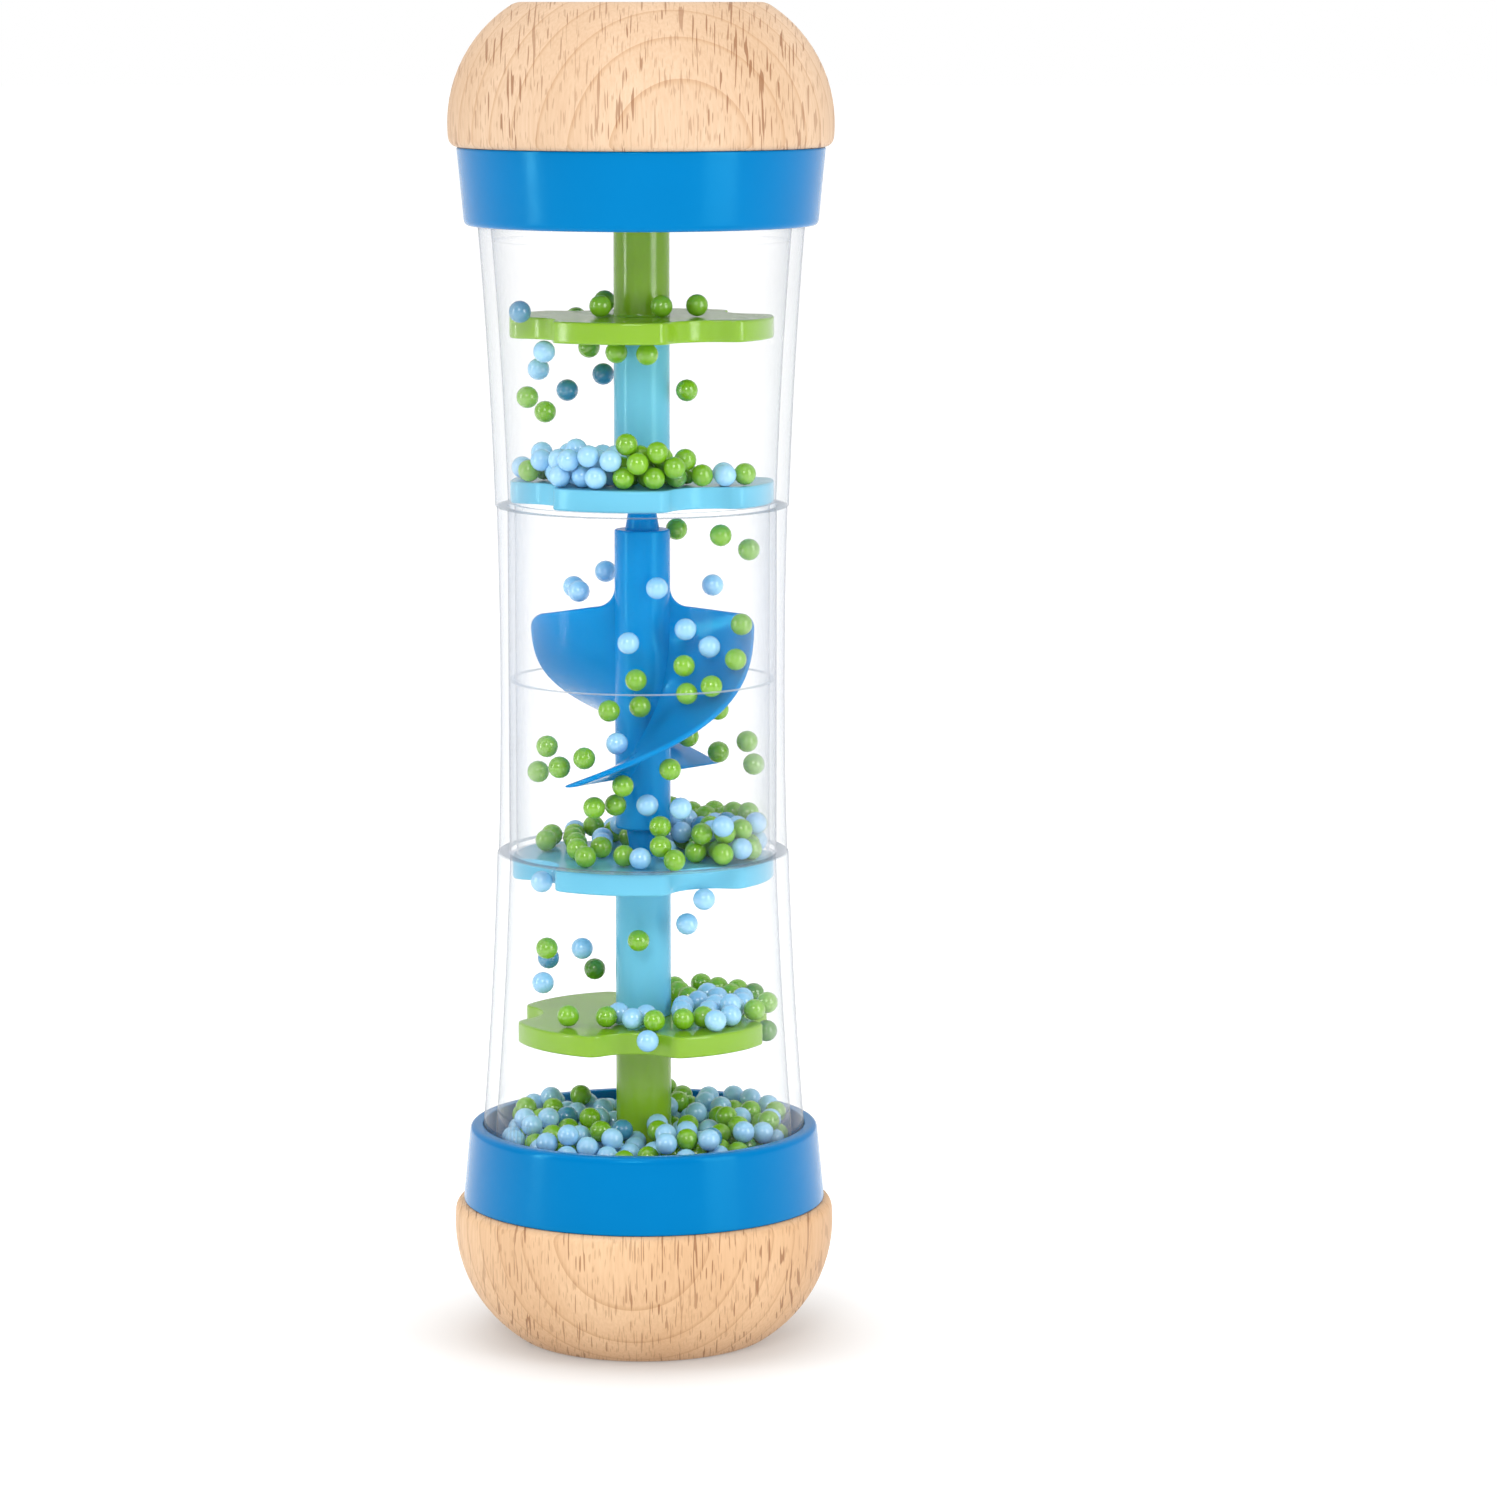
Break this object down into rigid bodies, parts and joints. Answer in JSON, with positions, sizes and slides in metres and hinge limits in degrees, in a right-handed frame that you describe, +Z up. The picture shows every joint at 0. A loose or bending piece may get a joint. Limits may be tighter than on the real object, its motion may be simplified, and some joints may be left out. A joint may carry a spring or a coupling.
{
  "type": "rainstick",
  "caption": "Handheld rainstick: clear waisted tube between wooden end caps, with scalloped discs, a free-spinning spiral and loose beads inside.",
  "frame": {"origin": "centre of the lower cap's flat rest face", "axes": "+Z up along the tube's axis, +X to the right and -Y towards the front"},
  "size_m": [0.057, 0.057, 0.2],
  "materials": {
    "beech_wood": "fine sanded beech under a clear matt lacquer",
    "collar_blue": "satin moulded plastic",
    "clear_plastic": "clear polished plastic",
    "disc_green": "glossy moulded plastic",
    "disc_light_blue": "glossy moulded plastic",
    "spiral_blue": "glossy moulded plastic",
    "bead_green": "glossy moulded plastic",
    "bead_light_blue": "glossy moulded plastic",
    "screw_steel": "zinc plated"
  },
  "bodies": {
    "root": {"lower_cap": "beech_wood", "upper_cap": "beech_wood", "lower_cap_screw": "screw_steel", "upper_cap_screw": "screw_steel", "lower_collar": "collar_blue", "upper_collar": "collar_blue", "lower_tube": "clear_plastic", "upper_tube": "clear_plastic", "tube_sleeve": "clear_plastic", "lower_green_disc": "disc_green", "upper_green_disc": "disc_green", "lower_blue_disc": "disc_light_blue", "upper_blue_disc": "disc_light_blue", "base_blue_beads": "bead_light_blue", "base_green_beads": "bead_green", "lower_disc_blue_beads": "bead_light_blue", "lower_disc_green_beads": "bead_green", "middle_blue_beads": "bead_light_blue", "middle_green_beads": "bead_green", "upper_disc_blue_beads": "bead_light_blue", "upper_disc_green_beads": "bead_green", "top_green_beads": "bead_green", "middle_falling_green_beads": "bead_green"},
    "spiral": {"spiral": "spiral_blue", "spiral_blue_beads": "bead_light_blue", "spiral_green_beads": "bead_green"},
    "upper_falling_beads": {"upper_falling_blue_beads": "bead_light_blue", "upper_falling_green_beads": "bead_green"},
    "lower_falling_beads": {"lower_falling_blue_beads": "bead_light_blue", "lower_falling_green_beads": "bead_green"}
  },
  "joints": [
    {"name": "spiral_spin", "type": "hinge", "parent": "root", "child": "spiral", "pos_m": [0, 0, 0.1], "axis": [0, 0, 1], "continuous": true},
    {"name": "upper_beads_fall", "type": "slide", "parent": "root", "child": "upper_falling_beads", "axis": [0, 0, -1], "range_m": [0, 0.0055]},
    {"name": "lower_beads_fall", "type": "slide", "parent": "root", "child": "lower_falling_beads", "axis": [0, 0, -1], "range_m": [0, 0.0034]}
  ]
}
